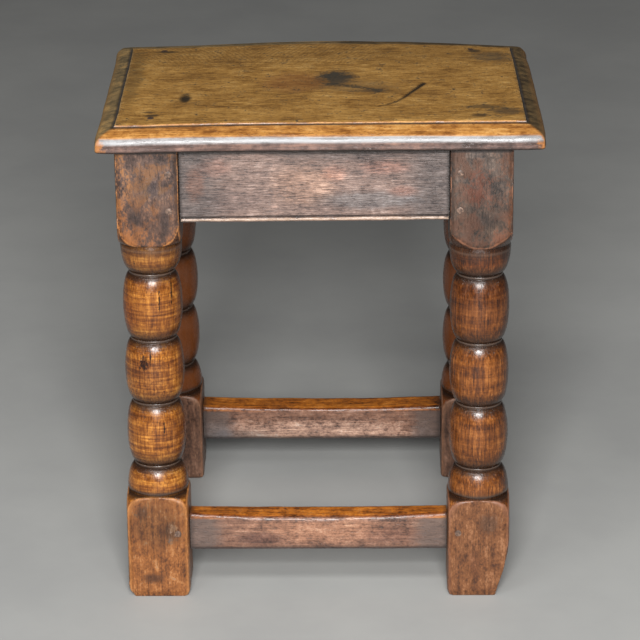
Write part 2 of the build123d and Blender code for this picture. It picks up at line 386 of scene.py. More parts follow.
def leg(end, side, turning):
    name = f"{end}_{side}_leg_oak"
    lift, head_rise, seed = LEGS[end, side][:3]
    spindle = copy_of(turning, name + "_turning")
    spindle.location.z = lift
    settle(spindle)
    blocks = [block(name + "_foot", True, end, side), block(name + "_head", False, end, side)]
    piece = join([*blocks, spindle], name)
    place = places()
    x, y, z = place.T
    height = z - lift
    in_block = (height < FOOT_TOP + 0.0002) | (height > HEAD_BOTTOM - 0.0002)
    flat = HALF_LEG - np.maximum(abs(x), abs(y))
    arris = np.hypot(HALF_LEG - abs(x), HALF_LEG - abs(y))
    arch = arch_gap(place, lift, head_rise, (end, side) == ("front", "right"))
    edge = ease(0.006, 0.001, arris) * in_block
    lump = cloud(0.021, 1.2)
    chip = cloud(0.008, 1.8)
    sides = ease(0.0008, 0.003, z) * ease(SEAT_UNDER - 0.0008, SEAT_UNDER - 0.003, z)
    press(0.0014, edge, pattern=lump, stretch=(1, 1, 2.5))
    ragged = np.maximum(edge, ease(0.003, 0.001, arch) * in_block)
    press(0.0007, ragged, pattern=chip, stretch=(1, 1, 1.6))
    press(0.0006, in_block * sides, pattern=lump, stretch=(1, 1, 5))
    press(0.0004, ~in_block * 1.0, pattern=lump)
    for hand in (-1, 1):
        rounding = 0.0048 if (end, side, hand) == ("front", "left", -1) else 0.0018
        high = 0.011 if rounding > 0.002 else 0.007
        outer_x, outer_y = ease(0.01, 0.0, HALF_LEG - hand * x), ease(0.01, 0.0, HALF_LEG - hand * y)
        press(-hand * rounding, ease(high, 0.0, z) ** 2 * outer_x, "X")
        press(-hand * 0.0018, ease(0.007, 0.0, z) ** 2 * outer_y, "Y")
    above_floor = y * math.sin(ENDS[end] * LEAN) + z * math.cos(LEAN)
    press(0.0003, ease(0.0006, 0.0002, above_floor), "Z")
    # Darker at each neck and at the foot's groove: patina in the hollows, and painted shade on the
    # underside of the swelling above each neck, which faces down.
    neck = np.zeros(len(z))
    # A paler line on each ring and at both grooves: a painted highlight, where each ring catches the
    # light.
    ring = ease(0.0011, 0.0002, abs(height - HEAD_BOTTOM + 0.0045)) * 0.5
    ring = np.maximum(ring, ease(0.0012, 0.0002, abs(height - FOOT_TOP - 0.003)))
    for middle in NECKS:
        above = ease(0.021, 0.001, height - middle) * (height >= middle)
        below = ease(0.011, 0.001, middle - height) * (height < middle)
        neck = np.maximum(neck, above + below)
        ring = np.maximum(ring, ease(0.0013, 0.0003, abs(height - middle)))
    between = (height > FOOT_TOP - SHOULDER - 0.001) & (height < HEAD_BOTTOM + head_rise + 0.001)
    shoulders = ease(0.0008, 0.002, flat) * between
    turned = np.where(in_block, shoulders, 1.0)
    low_end = ease(0.0065, 0.001, abs(height - FOOT_TOP - 0.001))
    # Painted shade under the upper block: the top of the upper cup and the block's arched shoulders are
    # darkened.
    under_head_shade = ease(0.022, 0.001, HEAD_BOTTOM - height) * ease(-0.034, -0.022, HEAD_BOTTOM - height)
    outer = ease(0.03, 0.002, HALF_LEG - SIDES[side] * x) * in_block
    ends = ease(0.03, 0.0, abs(height - HEAD_BOTTOM)) * in_block
    beside_apron = ease(0.008, 0.0, HALF_LEG + SIDES[side] * x)
    beside_apron = beside_apron * ease(0.4, 0.41, z) * ease(0.001, 0.0, flat)
    mark("grain", np.stack([z + seed, x, y], 1))
    mark("worn", np.clip(1 - np.minimum(arris, arch) / 0.006, 0, 1) * in_block)
    mark("rubbed", np.clip(0.6 * outer + 0.6 * ends, 0, 1))
    mark("grime_and_shade", np.clip(neck + np.maximum(low_end, 0.8 * under_head_shade), 0, 1) * turned)
    mark("turned", turned)
    # Which way each point faces against the outside of the stool; the finish paints shade on the side
    # turned from it.
    outward = -0.25 * x - 0.97 * y if end == "front" else 0.3 * SIDES[side] * x + 0.95 * y
    mark("facing", outward / (np.hypot(x, y) + 1e-6))
    # Painted shadow on the leg just under the seat's overhang; the line beside the apron is the real open
    # joint.
    under_seat_shadow = ease(0.0062, 0.005, SEAT_UNDER - z)
    mark("joint_and_seat_shadow", np.clip(0.8 * beside_apron + under_seat_shadow, 0, 1))
    mark("ring", ring * turned)
    mark("height", z)
    piece.location = (FRAME_SHIFT + SIDES[side] * LEG_X, ENDS[end] * SOLE_Y, 0)
    piece.rotation_euler = (ENDS[end] * LEAN, 0, 0)
    settle(piece)
    smooth_shade(piece, 50)
    return piece


# --- Rails ------------------------------------------------------------
def fill_in(points, pitch):
    """The same outline with more points along its straight runs."""
    dense = []
    for here, there in zip(points, points[1:] + points[:1]):
        here, there = Vector(here), Vector(there)
        count = max(1, round((there - here).length / pitch))
        dense += [here.lerp(there, step / count) for step in range(count)]
    return dense


def apron_line():
    outer = APRON_INSET - HALF_LEG
    groove_top = APRON_BOTTOM + BEAD
    inner, top = outer + APRON_THICK, SEAT_UNDER + 0.004
    line = [(outer + BEAD_RELIEF, groove_top), (outer + 0.0002, groove_top + 0.0009)]
    line += [(outer, groove_top + 0.0022), (outer, top), (inner, top), (inner, APRON_BOTTOM)]
    line = fill_in(line, 0.0021)[:-2]
    middle = (outer + 0.0022, APRON_BOTTOM + BEAD / 2 - 0.0002)
    bead = oval(middle, 0.0022, BEAD / 2 - 0.0004, 270, 90, 11)
    return line + [Vector(point) for point in bead]


def stretcher_line(side):
    outer = STRETCHER_INSET - HALF_LEG
    inner = outer + STRETCHER_THICK[side]
    top = STRETCHER_TOP
    line = [(outer, STRETCHER_BOTTOM), (outer, top - 0.003), (outer + 0.0009, top - 0.0009)]
    line += [(outer + 0.003, top), (inner - 0.003, top), (inner - 0.0009, top - 0.0009)]
    return fill_in([*line, (inner, top - 0.003), (inner, STRETCHER_BOTTOM)], 0.0019)


def reach(side, height):
    """Half the clear length between the two legs of a side at this height."""
    if side in ENDS:
        return LEG_X - HALF_LEG
    return SOLE_Y - SPLAY * height / SEAT_UNDER - HALF_LEG / math.cos(LEAN)


def is_long_run(edge):
    """A long edge that goes mostly from one end of a rail to the other."""
    step = edge.verts[1].co - edge.verts[0].co
    return abs(step.x) > 0.5 * step.length and step.length > 0.004


def rail_stock(name, line, side, middle):
    """The outline drawn out to the clear length, with its shoulders and short stubs into the legs."""
    long = reach(side, 0) + 0.01
    piece = draw(name, [(-long, depth, height) for depth, height in line])
    select_all()
    ops.edge_face_add()
    ops.extrude_region_move(TRANSFORM_OT_translate={"value": (2 * long, 0, 0)})
    select_all()
    ops.normals_make_consistent(inside=False)
    lean = 0 if side in ENDS else LEAN
    for hand in (-1, 1):
        outward = Vector((hand * math.cos(lean), 0, hand * math.sin(lean)))
        saw((hand * (reach(side, 0) - JOINT_GAP), 0, 0), outward)
    finish_edit()
    settle(piece)
    edit(piece)
    for cuts in (12, 13):
        choose("EDGE", is_long_run)
        ops.subdivide(number_cuts=cuts)
    depths = [depth for depth, height in line]
    for hand in (-1, 1):
        choose("FACE", lambda face: face.normal.x * hand > 0.9 and len(face.verts) > 20)
        ops.extrude_region_move(TRANSFORM_OT_translate={"value": (0, 0, 0)})
        centre = (hand * reach(side, middle), (min(depths) + max(depths)) / 2, middle)
        bpy.ops.transform.resize(value=(1, 0.55, 0.86), center_override=centre)
        ops.extrude_region_move(TRANSFORM_OT_translate={"value": (hand * 0.004, 0, 0)})
    finish_edit()
    return piece


def set_rail(piece, side):
    """Turns a finished rail to its side of the stool."""
    if side in ENDS:
        about = Matrix.Rotation(math.pi * (side == "back"), 4, "Z")
        place = Matrix.Translation((FRAME_SHIFT, ENDS[side] * SOLE_Y, 0))
        piece.matrix_world = place @ Matrix.Rotation(ENDS[side] * LEAN, 4, "X") @ about
    else:
        about = Matrix.Rotation(SIDES[side] * math.pi / 2, 4, "Z")
        piece.matrix_world = Matrix.Translation((FRAME_SHIFT + SIDES[side] * LEG_X, 0, 0)) @ about
    settle(piece)


def apron(side):
    name = f"{side}_apron_oak"
    piece = rail_stock(name, apron_line(), side, (APRON_BOTTOM + SEAT_UNDER) / 2)
    edit(piece)
    lean = LEAN if side in ENDS else 0
    level = Vector((0, -math.sin(lean), math.cos(lean)))
    saw(level * (SEAT_UNDER - 0.0001), level)
    finish_edit()
    x, y, z = places().T
    seed = RAIL_SEED[f"{side}_apron"]
    outer = APRON_INSET - HALF_LEG
    front = ease(outer + 0.004, outer + 0.001, y)
    inside = ease(reach(side, 0) + 0.0005, reach(side, 0) - 0.001, abs(x))
    bead = ease(APRON_BOTTOM + BEAD + 0.0004, APRON_BOTTOM + BEAD - 0.001, z) * front
    if side == "front":
        sagging_left = ease(0.45, 0.42, z) * np.interp(x, [-0.14, 0.11], [1, 0])
        press(-0.0015, sagging_left, "Z")
    lump = cloud(0.03, 1.3)
    chip = cloud(0.009, 2.6)
    press(0.0005, front * inside, "NORMAL", lump, (3, 1, 1))
    press(0.0005, bead * inside, "NORMAL", chip, (2.2, 1, 1))
    groove = ease(0.0016, 0.0004, abs(z - APRON_BOTTOM - BEAD - 0.0002)) * front
    mark("grain", np.stack([x + seed, y, z], 1))
    # Worn, on the apron, is its bead, which the finish paints paler: wear, and partly a painted
    # highlight.
    mark("worn", bead * ease(APRON_BOTTOM, APRON_BOTTOM + 0.002, z))
    # Painted shadow along the top of the apron, just under the seat's nose.
    seat_shadow_line = ease(0.0076, 0.0062, SEAT_UNDER - z)
    past = reach(side, 0.44) - abs(x)
    mark("grime_and_shade", np.clip(groove + seat_shadow_line + 0.9 * ease(0.0035, 0.0008, past), 0, 1))
    mark("ends", ease(0.075, 0.0, past))
    set_rail(piece, side)
    smooth_shade(piece, 40)
    return piece


def stretcher(side):
    name = f"{side}_stretcher_oak"
    line = stretcher_line(side)
    piece = rail_stock(name, line, side, (STRETCHER_BOTTOM + STRETCHER_TOP) / 2)
    x, y, z = places().T
    seed = RAIL_SEED[f"{side}_stretcher"]
    outer = STRETCHER_INSET - HALF_LEG
    across = np.clip((y - outer) / STRETCHER_THICK[side], 0, 1)
    clear = reach(side, STRETCHER_TOP)
    inside = ease(clear + 0.0005, clear - 0.002, abs(x))
    top = ease(STRETCHER_TOP - 0.012, STRETCHER_TOP - 0.001, z)
    dip = np.clip(1 - (x / clear) ** 2, 0, 1)
    deep_outer, deep_inner = HOLLOWS.get(side, (0.003, 0.002))
    press(-deep_outer, dip * top * (1 - across) * inside, "Z")
    press(-deep_inner, dip * top * across * inside, "Z")
    lump = cloud(0.026, 1.3)
    chip = cloud(0.01, 2.4)
    press(0.0006, inside, "NORMAL", lump, (3, 1, 1))
    x, y, z = places().T
    above, below = [], []
    for depth, deep in ((outer, deep_outer), (outer + STRETCHER_THICK[side], deep_inner)):
        above.append(np.hypot(y - depth, z - STRETCHER_TOP + dip * deep))
        below.append(np.hypot(y - depth, z - STRETCHER_BOTTOM))
    edge = ease(0.0055, 0.0015, np.minimum(*above))
    low = ease(0.004, 0.001, np.minimum(*below))
    press(0.0005, np.maximum(edge, 0.5 * low) * inside, "NORMAL", chip, (4, 1, 1))
    mark("grain", np.stack([x + seed, y, z], 1))
    mark("worn", edge)
    mark("top", ease(STRETCHER_TOP - 0.0075, STRETCHER_TOP - 0.0045, z))
    past = reach(side, 0.065) - abs(x)
    # Painted shade along the bottom edge.
    bottom_shade = ease(STRETCHER_BOTTOM + 0.005, STRETCHER_BOTTOM + 0.0012, z)
    mark("grime_and_shade", np.clip(0.7 * ease(0.007, 0.0, past) + bottom_shade, 0, 1))
    mark("ends", ease(0.06, 0.0, past))
    set_rail(piece, side)
    smooth_shade(piece, 40)
    return piece


# --- Pegs -------------------------------------------------------------
def peg_head(name, spot, number):
    """One peg, riven and trimmed by hand: many sided, a little oval, its end slightly rounded."""
    deselect()
    ops.primitive_cylinder_add(vertices=20, radius=PEG_RADIUS, depth=0.012, location=(0, 0, 0))
    piece = bpy.context.object
    piece.name = piece.data.name = name
    bpy.ops.object.mode_set(mode="EDIT")
    choose("FACE", lambda face: face.normal.z > 0.9)
    ops.inset(thickness=0.0008)
    bpy.ops.transform.translate(value=(0, 0, 0.0002))
    ops.inset(thickness=0.001)
    bpy.ops.transform.translate(value=(0.0002 * math.sin(number * 2.1), 0, 0.00008))
    select_all()
    wide, long = 1 + 0.05 * math.sin(number * 1.7), 1 - 0.05 * math.sin(number * 2.3)
    bpy.ops.transform.resize(value=(wide, long, 1))
    finish_edit()
    proud = 0.0003 + 0.0002 * math.sin(number * 1.3)
    sunk = Matrix.Translation((0, 0, proud - 0.006))
    piece.matrix_world = spot @ sunk @ Matrix.Rotation(number * 1.1, 4, "Z")
    settle(piece)
    return piece


def drive(name, spots, first):
    """A peg at each of these spots, joined to one piece."""
    pegs = [peg_head(f"{name}_{index}", spot, first + index) for index, spot in enumerate(spots)]
    piece = join(pegs, name)
    smooth_shade(piece, 35)
    return piece, places()


def rail_pegs(side, kind, heights):
    name = f"{side}_{kind}_pegs_oak"
    spots = []
    for hand in (-1, 1):
        for height in heights:
            across = hand * (reach(side, height) + PEG_INSET)
            spot = Matrix.Translation((across, -HALF_LEG, height))
            spots.append(spot @ Matrix.Rotation(math.pi / 2, 4, "X"))
    piece, place = drive(name, spots, 5 * len(name))
    mark("grain", place[:, [1, 0, 2]])
    mark("grime_and_shade", ease(-HALF_LEG - 0.0003, -HALF_LEG + 0.0003, place[:, 1]))
    set_rail(piece, side)
    return piece


def top_pegs():
    out_x = LEG_X - SEAT_PEG_IN.x
    out_y = SOLE_Y - SPLAY - SEAT_PEG_IN.y
    spots = [Matrix.Translation((FRAME_SHIFT + hand_x * out_x, hand_y * out_y, SEAT_TOP - 0.0016))
             for hand_x in (-1, 1) for hand_y in (-1, 1)]
    piece, place = drive("seat_pegs_oak", spots, 40)
    mark("grain", place[:, [2, 0, 1]])
    mark("grime_and_shade", np.full(len(place), 0.8))
    return piece


# --- Seat -------------------------------------------------------------
def seat_edge():
    """The moulding as steps from the edge of the field: share of the slope, way out past it, way down."""
    rows = [(0, 0.0004, -0.0001), (0, 0.0008, -0.0005), (0, 0.0009, -0.0012), (0, 0.001, -0.0025)]
    for t in np.linspace(0.1, 1, 10).tolist():
        rows.append((t, 0.001 * (1 - t), -0.0025 - 0.0025 * t + 0.0005 * math.sin(math.pi * t)))
    for a in np.radians(np.linspace(9, 90, 12)).tolist():
        rows.append((1, SLOPE_END * math.sin(a) ** 0.8, -0.0145 + 0.0095 * math.cos(a) ** 0.8))
    rows += [(1, SLOPE_END, -0.0157), (1, SLOPE_END, -0.017)]
    under = np.radians(np.linspace(15, 90, 6))
    rows += [(1, SLOPE_END - 0.003 + 0.003 * math.cos(a), -0.017 - 0.0038 * math.sin(a)) for a in under]
    rows += [(1, SLOPE_END - 0.0036, -0.021)]
    return rows


def field_depth(place):
    """How far inside the edge of the flat a point of the seat is."""
    in_x = SEAT_HALF.x - END_MARGIN - abs(place[:, 0])
    return np.minimum(in_x, SEAT_HALF.y - LONG_MARGIN - abs(place[:, 1]))


def line_gap(place, points):
    """Distance in plan from each vertex to the nearest part of a drawn line."""
    best = np.full(len(place), 1.0)
    for here, there in zip(points, points[1:]):
        here, there = np.array(here), np.array(there)
        step = there - here
        share = np.clip(((place[:, :2] - here) @ step) / (step @ step), 0, 1)
        best = np.minimum(best, np.linalg.norm(place[:, :2] - here - share[:, None] * step, axis=1))
    return best


STREAK = [(0.009, -0.008), (0.034, -0.015), (0.058, -0.029)]
GOUGE = [(0.057, -0.077), (0.067, -0.072), (0.076, -0.063), (0.084, -0.05), (0.091, -0.034),
         (0.104, -0.007)]


def seat():
    name = "seat_top_oak"
    field = SEAT_HALF - Vector((END_MARGIN, LONG_MARGIN))
    slope = Vector((END_MARGIN, LONG_MARGIN)) - Vector((SLOPE_END, SLOPE_END))
    deselect()
    ops.primitive_plane_add(size=1, location=(0, 0, SEAT_TOP))
    piece = bpy.context.object
    piece.name = piece.data.name = name
    piece.scale = (2 * field.x, 2 * field.y, 1)
    settle(piece)
    edit(piece)
    ops.select_mode(type="FACE")
    select_all()
    ops.delete(type="ONLY_FACE")
    ops.select_mode(type="EDGE")
    select_all()
    rim, down = field, 0.0
    for share, out, next_down in seat_edge():
        next_rim = field + share * slope + Vector((out, out))
        ops.extrude_edges_move(TRANSFORM_OT_translate={"value": (0, 0, next_down - down)})
        grow = (next_rim.x / rim.x, next_rim.y / rim.y, 1)
        bpy.ops.transform.resize(value=grow, center_override=(0, 0, 0))
        rim, down = next_rim, next_down
    choose("EDGE", lambda edge: min(v.co.z for v in edge.verts) > SEAT_TOP - 1e-6)
    ops.edge_face_add()
    for axis, cuts in ((0, 15), (1, 12), (0, 14), (1, 11)):
        divide(axis, cuts)
    choose("EDGE", lambda edge: edge.is_boundary)
    ops.edge_face_add()
    close_up()
    finish_edit()
    place = places()
    x, y, z = place.T
    half_x, half_y = SEAT_HALF
    upper = ease(SEAT_UNDER, SEAT_UNDER + 0.006, z)
    inside = field_depth(place)
    rim = np.minimum(half_x - abs(x), half_y - abs(y))
    flat = ease(-0.001, 0.001, inside)
    lump = cloud(0.045, 1.0)
    ripple = cloud(0.012, 1.2)
    chip = cloud(0.011, 2.4)
    right = np.interp(y, [-0.158, -0.1, -0.015, 0.075, 0.12, 0.158], [0, 0.05, 0.35, 0.65, 0.9, 0.8])
    press(-0.0068, ease(0.15, half_x, x) * right, "X")
    press(0.0016, ease(-0.15, -half_x, x) * ease(half_y, 0.08, abs(y)), "X")
    back = ease(0.06, half_y, y)
    short_at = [-0.2225, -0.208, -0.133, -0.058, 0.082, 0.136, 0.202, 0.2225]
    press(-0.013, back * np.interp(x, short_at, [9, 8.5, 6.5, 0, 0, 4.5, 12, 13]) / 13, "Y")
    press(0.003, back * np.interp(x, [-0.08, -0.01, 0.03, 0.1], [0, 1, 1, 0]), "Y")
    press(-0.0016, ease(0.35, 1.0, abs(x) / half_x) * ease(0, half_y, y) * upper, "Z")
    groove = np.interp(y, [-0.151, -0.133, -0.127, -0.09], [0, 1, 1, 0])
    askew = np.interp(x, [-0.187, -0.118, -0.05, 0.088, 0.157, 0.2], [0.14, 0.25, 0.71, 0.95, 1, 0.9])
    press(0.0054, groove * askew, "Y")
    left_front = ease(0.13, 0.0, np.hypot(x + half_x, y + half_y))
    press(-0.002, left_front * np.maximum(upper, ease(0.008, 0.004, rim)), "Z")
    for hand_x in (-1, 1):
        for hand_y in (-1, 1):
            gap = np.hypot(hand_x * half_x - x, hand_y * half_y - y)
            corner = ease(0.02, 0.0, gap) * (1 - flat) * (1.0 if hand_y > 0 else 0.45)
            press(-hand_x * 0.003, corner, "X")
            press(-hand_y * 0.003, corner, "Y")
    corner = ease(0.022, 0.004, np.hypot(half_x - abs(x), half_y - abs(y))) * (1 - flat)
    group = piece.vertex_groups.new(name="corner")
    for index in np.nonzero(corner > 0.02)[0]:
        group.add([int(index)], float(corner[index]), "REPLACE")
    apply_modifier(piece, "SMOOTH", factor=0.5, iterations=10, vertex_group="corner")
    piece.vertex_groups.remove(piece.vertex_groups["corner"])
    press(0.0008, upper, "Z", lump, (2.5, 1, 1))
    press(0.00025, flat, "Z", ripple, (5, 1, 1))
    arris = np.hypot(inside, 1.2 * (SEAT_TOP - z))
    press(0.0005, ease(0.0035, 0.0005, arris), "NORMAL", chip, (1.5, 1.5, 1))
    nose = ease(0.008, 0.002, rim) * upper
    press(0.0004, nose, "NORMAL", chip, (4, 4, 1))
    press(0.0007, nose, "NORMAL", lump, (2, 2, 1))
    press(-0.0009, ease(0.0022, 0.0004, line_gap(place, GOUGE)) * flat, "Z")
    dent = np.hypot((x + 0.137) / 0.0055, (y + 0.051) / 0.013)
    press(-0.0007, ease(1.1, 0.6, dent) * flat, "Z")
    step = ease(0.0056, 0.0022, -inside) * ease(-0.0002, 0.0006, -inside)
    step = step * ease(SEAT_TOP - 0.0008, SEAT_TOP - 0.0018, z)
    mitre = (END_MARGIN - half_x + abs(x)) / END_MARGIN - (LONG_MARGIN - half_y + abs(y)) / LONG_MARGIN
    mark("grain", np.stack([x, y, z], 1))
    mark("flat", flat)
    mark("worn", np.clip(1 - arris / 0.005, 0, 1))
    # Dirt in the quirk below the flat's edge, and painted shade along the underside of the nose.
    mark("grime_and_shade", np.clip(step + ease(SEAT_UNDER + 0.0032, SEAT_UNDER + 0.0008, z), 0, 1))
    wide = np.interp(y, [-0.06, -0.03, -0.014], [-0.0004, 0.0006, 0.0012])
    mark("gouge", ease(0.0026, 0.0006, line_gap(place, GOUGE) - wide) * flat)
    mark("streak", ease(0.0085, 0.001, line_gap(place, STREAK)) * flat)
    mark("height", z)
    mark("front", ease(0.15, -0.15, mitre) * (y < 0))
    smooth_shade(piece, 45)
    return piece


# --- Finishes ---------------------------------------------------------
# One material is in hand at a time, as its tree of nodes and the figure of its oak. Shades are
# red, green and blue in thousandths. Tones are what each of them is multiplied by.
def start_finish(name):
    """Takes a new material in hand."""
    global tree
    material = bpy.data.materials.new(name)
    material.use_nodes = True
    tree = material.node_tree
    return material


def node(kind, inputs=(), **settings):
    made = tree.nodes.new("ShaderNode" + kind)
    for name, value in settings.items():
        setattr(made, name, value)
    for name, value in dict(inputs).items():
        feed(made.inputs[name], value)
    return made


def feed(socket, value):
    if isinstance(value, bpy.types.NodeSocket):
        tree.links.new(value, socket)
    else:
        socket.default_value = value


def layer(name, output="Fac"):
    """What the piece's vertices carry under this name."""
    return node("Attribute", attribute_name=name).outputs[output]


def moved(vector, scale, shift):
    return node("Mapping", {"Vector": vector, "Scale": scale, "Location": shift}).outputs[0]


def noise(vector, scale, shift, detail, rough, warp=0.0):
    inputs = {"Vector": moved(vector, scale, shift), "Scale": 1.0, "Detail": detail}
    return node("TexNoise", inputs | {"Roughness": rough, "Distortion": warp}).outputs[0]


def band(value, start, end, low=0.0, high=1.0):
    inputs = {"Value": value, "From Min": start, "From Max": end, "To Min": low, "To Max": high}
    return node("MapRange", inputs, interpolation_type="SMOOTHSTEP").outputs[0]


def reckon(how, first, second=0.0):
    return node("Math", {0: first, 1: second}, operation=how).outputs[0]


def times(first, second):
    return reckon("MULTIPLY", first, second)


def plus(first, second):
    return reckon("ADD", first, second)


def blend(*values, **figure):
    """Adds up values and parts of the oak's figure, each by its share or else in full."""
    parts = [value if isinstance(value, tuple) else (value, 1.0) for value in values]
    parts += [(getattr(oak, name), share) for name, share in figure.items()]
    total = 0.0
    for value, share in parts:
        total = plus(total, times(value, share))
    return total


def mix(share, first, second, how="MIX"):
    inputs = {0: share, 6: first, 7: second}
    return node("Mix", inputs, data_type="RGBA", blend_type=how).outputs[2]


def colour(red, green, blue):
    return (red / 1000, green / 1000, blue / 1000, 1.0)


def ramp(value, start, end, *shades):
    """Runs through the shades, evenly spaced, as the value goes from start to end."""
    made = node("ValToRGB", {"Fac": value})
    stops = made.color_ramp.elements
    stops[0].position, stops[1].position = start, end
    for place in np.linspace(start, end, len(shades))[1:-1]:
        stops.new(float(place))
    for stop, shade in zip(stops, shades):
        stop.color = colour(*shade)
    return made.outputs[0]


def stain(wood, share, shade, amount=None):
    """Lays a shade over the wood, by this share, or by this amount of it."""
    return mix(times(share, amount) if amount else share, wood, colour(*shade))


def tint(wood, share, tones):
    """Multiplies the wood by these tones, by this share, so that its figure still shows."""
    return mix(share, wood, (*tones, 1.0), "MULTIPLY")


def spot(vector, centre, size, soft):
    """1 inside an oval round this place, fading to 0 at its edge."""
    shift = tuple(-place / part for place, part in zip(centre, size))
    inside = moved(vector, tuple(1 / part for part in size), shift)
    away = node("VectorMath", {0: inside}, operation="LENGTH").outputs["Value"]
    return band(away, 1.0, 1.0 - soft)


def start_oak(name):
    """Takes a new oak in hand: its patches, mottle, specks, long streaks, fibres and open pores."""
    global oak
    oak = SimpleNamespace(material=start_finish(name))
    oak.grain = layer("grain", "Vector")
    oak.patch = noise(oak.grain, (20, 30, 30), (3.1, 0.4, 7.7), 3.0, 0.6, 0.6)
    oak.mottle = noise(oak.grain, (70, 95, 95), (0.3, 5.1, 2.2), 4.0, 0.72)
    oak.speck = noise(oak.grain, (330, 480, 480), (1.0, 7.0, 2.0), 2.0, 0.6)
    oak.streak = noise(oak.grain, (9, 230, 230), (0, 0, 0), 4.0, 0.65, 0.5)
    oak.fibre = noise(oak.grain, (26, 620, 620), (0, 0, 0), 3.0, 0.68)
    oak.pores = band(noise(oak.grain, (130, 1300, 1300), (0.2, 0.9, 0.1), 1.0, 0.5), 0.6, 0.7)
    oak.dark_fleck = band(oak.speck, 0.58, 0.66)
    oak.pale_fleck = band(oak.speck, 0.4, 0.33)


def tint_spots(wood, marks, soft, start, end, **ragged):
    """Tints the wood inside ragged ovals; each mark has its place, half size and tones."""
    for place, size, tones in marks:
        mask = blend(spot(oak.grain, place, size, soft), **ragged)
        wood = tint(wood, band(mask, start, end), tones)
    return wood


def worn_edge(start, end, amount, **ragged):
    return band(blend(layer("worn"), **ragged), start, end, 0.0, amount)


def gloss(low, high):
    """Roughness that wanders between these two with the mottle."""
    return band(oak.mottle, 0.3, 0.7, low, high)


def close(wood, rough, depth, **relief):
    """Joins the finish to its shader, with its fibres, specks and pores standing in relief."""
    shape = blend(fibre=0.6, speck=0.5, pores=-0.6, **relief)
    shader = tree.nodes["Principled BSDF"]
    feed(shader.inputs["Base Color"], wood)
    feed(shader.inputs["Roughness"], rough)
    bump = node("Bump", {"Height": shape, "Distance": depth, "Strength": 1.0})
    feed(shader.inputs["Normal"], bump.outputs[0])
    return oak.material


def on_leg(seed, marks):
    """The marks of a leg in metres, moved along the grain by its seed."""
    return [(Vector(place) / 1000 + Vector((seed, 0, 0)), Vector(size) / 1000, tones)
            for place, size, tones in marks]


# The shade argument is the colour of painted shade, laid on the turning's sides that face away from the
# stool's outside; it also colours the turning's dark flecks.
def leg_finish(name, seed, turned, shade, block, rub, foot, ringed, dim_top, marks=(), cracks=()):
    """Polished turning between a rubbed block and foot; all three run from dark to light."""
    start_oak(name)
    height, is_turned = layer("height"), layer("turned")
    oak.rings = noise(oak.grain, (430, 20, 20), (2, 2, 9), 3.0, 0.75)
    bands = noise(oak.grain, (75, 7, 7), (4, 1, 9), 2.0, 0.6)
    tone = blend((bands, 0.2), rings=ringed, fibre=0.6 - ringed, mottle=0.2)
    turning = ramp(tone, 0.41, 0.6, *turned)
    turning = stain(turning, times(oak.dark_fleck, 0.45), shade)
    # Painted shade on the sides of the turning that face away from the stool's outside, and partly wear,
    # as the outer faces are rubbed paler.
    lit_and_rubbed = plus(layer("facing"), times(plus(oak.mottle, -0.5), 0.8))
    turning = stain(turning, band(lit_and_rubbed, 0.8, -0.25, 0.0, 0.92), shade)
    turning = tint(turning, band(height, 0.275, 0.335, 0.0, dim_top), (0.45, 0.4, 0.5))
    turning = tint_spots(turning, on_leg(seed, cracks), 0.9, 2.1, 2.6, mottle=1.5, speck=1.8)

    tone = blend(mottle=0.4, speck=0.3, patch=0.2, fibre=0.1)
    flat = ramp(tone, 0.41, 0.6, *block)
    warmth = noise(oak.grain, (34, 48, 48), (6.2, 3.3, 1.7), 3.0, 0.6, 0.8)
    warmth = blend(warmth, mottle=0.4, speck=0.3)
    flat = stain(flat, band(warmth, 0.8, 0.98, 0.0, 0.75), [part * 0.55 for part in rub])
    flat = stain(flat, oak.pale_fleck, (240, 150, 105), 0.22)
    # Rubbed bare wood on the blocks' outer faces and ends.
    bare_and_sheen = blend((layer("rubbed"), 0.5), mottle=1.1, patch=1.1, speck=0.8)
    flat = stain(flat, band(bare_and_sheen, 1.7, 2.12, 0.0, 0.92), rub)
    tone = blend(mottle=0.34, speck=0.26, patch=0.16, streak=0.24)
    low = ramp(tone, 0.4, 0.6, *foot)
    bright = band(blend(layer("worn"), mottle=0.6), 0.35, 1.15, 0.0, 0.6)
    low = stain(low, bright, [part * 1.3 for part in rub])
    flat = tint(flat, band(height, 0.455, 0.405), (0.82, 0.7, 0.6))
    flat = mix(band(height, 0.24, 0.12), flat, low)
    flat = tint_spots(flat, on_leg(seed, marks), 0.95, 1.65, 2.25, mottle=1.0, speck=1.7)
    flat = stain(flat, oak.pores, (20, 12, 8), 0.45)
    # Dark open joint beside the apron, and a painted shadow just under the seat.
    flat = stain(flat, layer("joint_and_seat_shadow"), (18, 12, 10), 0.92)
    wood = mix(is_turned, flat, turning)
    # Dark patina in the necks and groove, with painted shade under the swellings and under the upper
    # block.
    wood = stain(wood, layer("grime_and_shade"), (16, 9, 6), 0.93)
    # Painted highlight along the rings and grooves.
    wood = stain(wood, layer("ring"), (260, 190, 150), 0.22)
    wood = stain(wood, worn_edge(1.38, 1.62, 0.75, mottle=0.9, speck=0.4), [part * 1.5 for part in rub])
    rough = mix(is_turned, gloss(0.36, 0.5), gloss(0.21, 0.31))
    oak.ridges = times(oak.rings, is_turned)
    return close(wood, rough, 0.0002, ridges=0.5)


